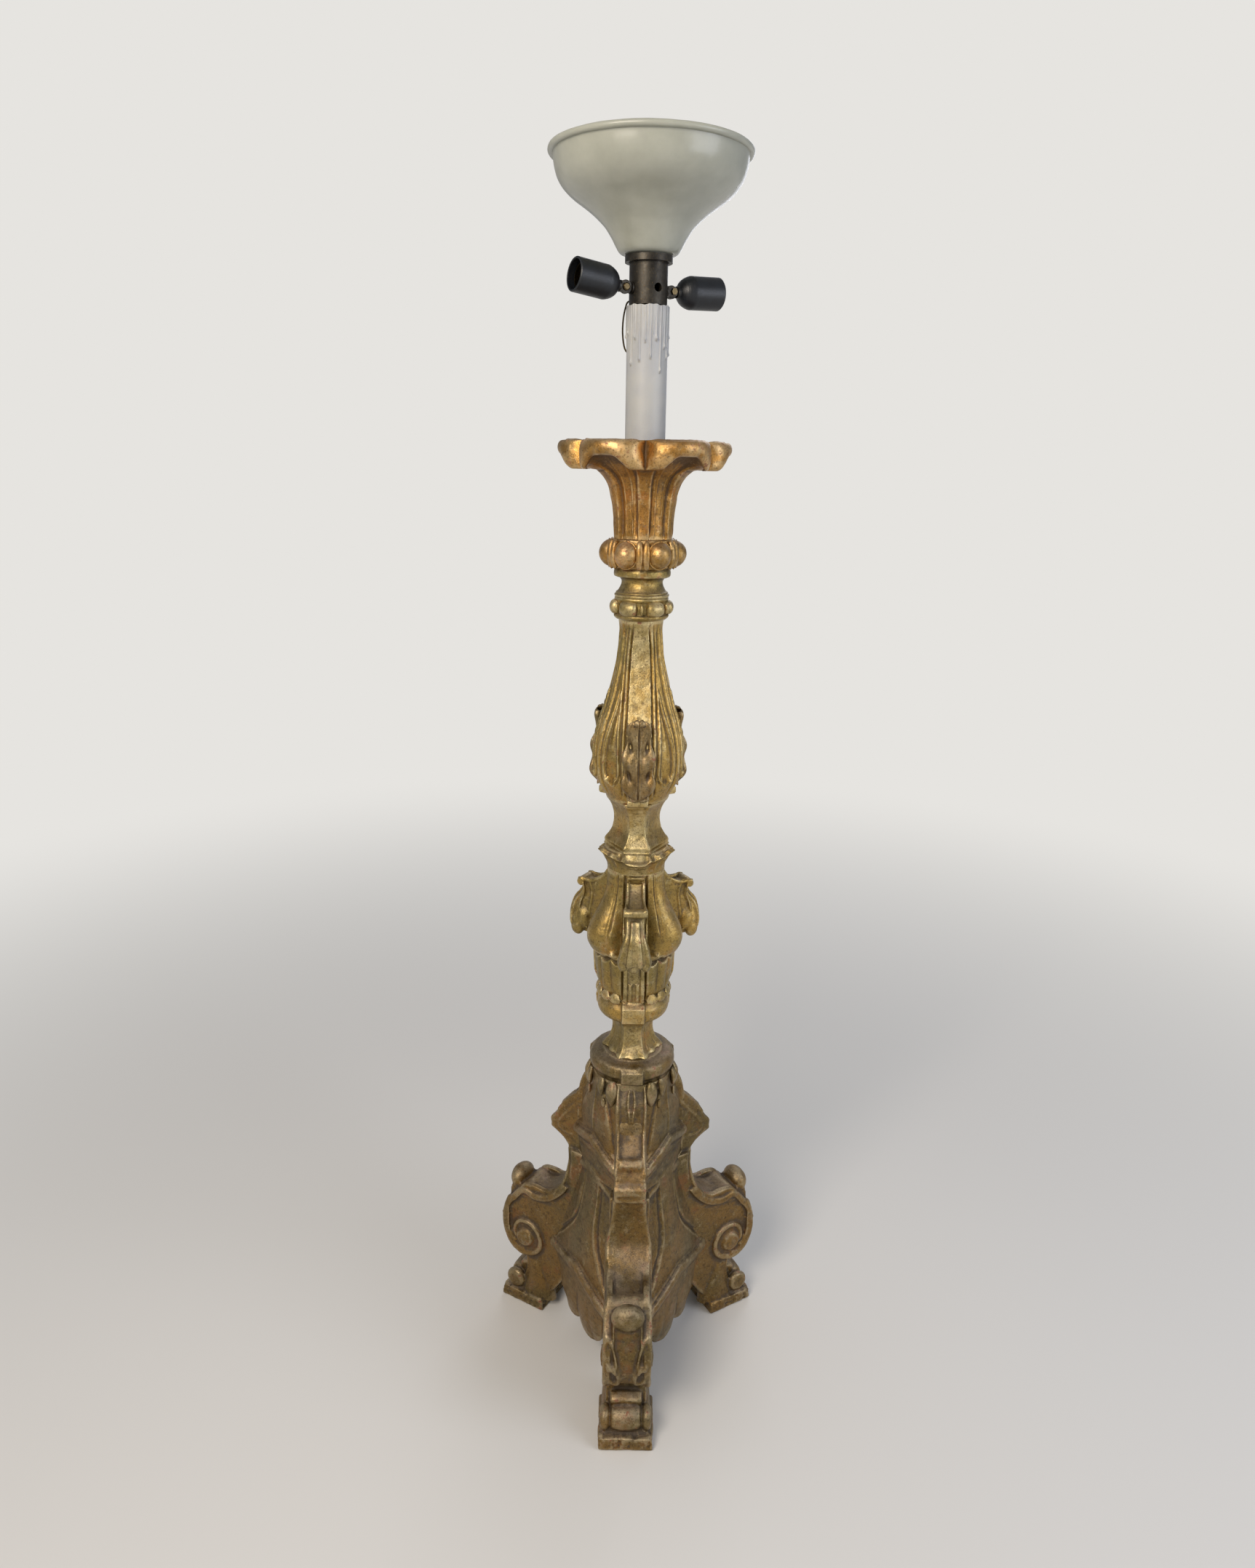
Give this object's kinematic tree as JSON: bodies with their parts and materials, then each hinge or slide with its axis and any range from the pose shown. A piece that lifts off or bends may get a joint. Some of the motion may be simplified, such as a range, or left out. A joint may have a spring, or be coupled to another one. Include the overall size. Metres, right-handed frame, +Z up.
{
  "type": "torchere candle stand",
  "caption": "Carved giltwood torchere candlestick on scroll legs, wired as a floor lamp with tilting lamp holders and an opal uplight bowl.",
  "frame": {"origin": "on the floor, under the stem axis", "axes": "+Z up along the stem axis; the front leg points along -Y; +X is to the right seen from the front"},
  "size_m": [0.4438, 0.3894, 1.792],
  "materials": {
    "gilt_wood": "aged water gilding, rubbed through to gesso and red-brown bole on the high spots",
    "gilt_orange": "warmer, heavily worn water gilding",
    "wax_card": "cream candle sleeve with moulded wax runs",
    "opal_glass": "opal glass, satin outside",
    "patinated_brass": "dark bronze patina rubbed to bare brass",
    "brass": "dull brass",
    "steel": "zinc plated",
    "bakelite": "black moulded phenolic",
    "porcelain": "white glazed insulator"
  },
  "bodies": {
    "stand": {"base_body": "gilt_wood", "leg_front": "gilt_wood", "leg_right": "gilt_wood", "leg_left": "gilt_wood", "base_collar": "gilt_wood", "lower_neck": "gilt_wood", "lower_ring": "gilt_wood", "vase": "gilt_wood", "vase_bracket_front": "gilt_wood", "vase_bracket_right": "gilt_wood", "vase_bracket_left": "gilt_wood", "ruffle_collar": "gilt_wood", "spool": "gilt_wood", "baluster": "gilt_wood", "bead_ring": "gilt_wood", "necked_disc": "gilt_wood", "gadroon_collar": "gilt_wood", "cup": "gilt_orange", "lamp_tube": "steel", "tube_nuts": "brass", "tube_washers": "steel", "cable_bush": "brass", "candle_sleeve": "wax_card", "cluster_body": "patinated_brass", "cluster_lead": "brass", "bowl_gallery": "patinated_brass", "left_knuckle": "patinated_brass", "left_tilt_pin": "brass", "right_knuckle": "patinated_brass", "right_tilt_pin": "brass", "bowl_holder_cap": "bakelite", "bowl_holder_skirt": "bakelite", "bowl_thread_shell": "brass", "bowl_contact_block": "porcelain"},
    "left_holder": {"left_swivel": "patinated_brass", "left_holder_cap": "bakelite", "left_holder_skirt": "bakelite", "left_thread_shell": "brass", "left_contact_block": "porcelain"},
    "right_holder": {"right_swivel": "patinated_brass", "right_holder_cap": "bakelite", "right_holder_skirt": "bakelite", "right_thread_shell": "brass", "right_contact_block": "porcelain"},
    "uplight_bowl": {"bowl": "opal_glass"}
  },
  "joints": [
    {"name": "left_tilt", "type": "hinge", "parent": "stand", "child": "left_holder", "pos_m": [-0.03031, -0.0175, 1.636], "axis": [-0.5, 0.866, 0], "range_deg": [-47, 33]},
    {"name": "right_tilt", "type": "hinge", "parent": "stand", "child": "right_holder", "pos_m": [0.03031, 0.0175, 1.636], "axis": [0.5, -0.866, 0], "range_deg": [-42.5, 37.5]},
    {"name": "bowl_lift", "type": "slide", "parent": "stand", "child": "uplight_bowl", "axis": [0, 0, 1], "range_m": [0, 0.15]}
  ]
}
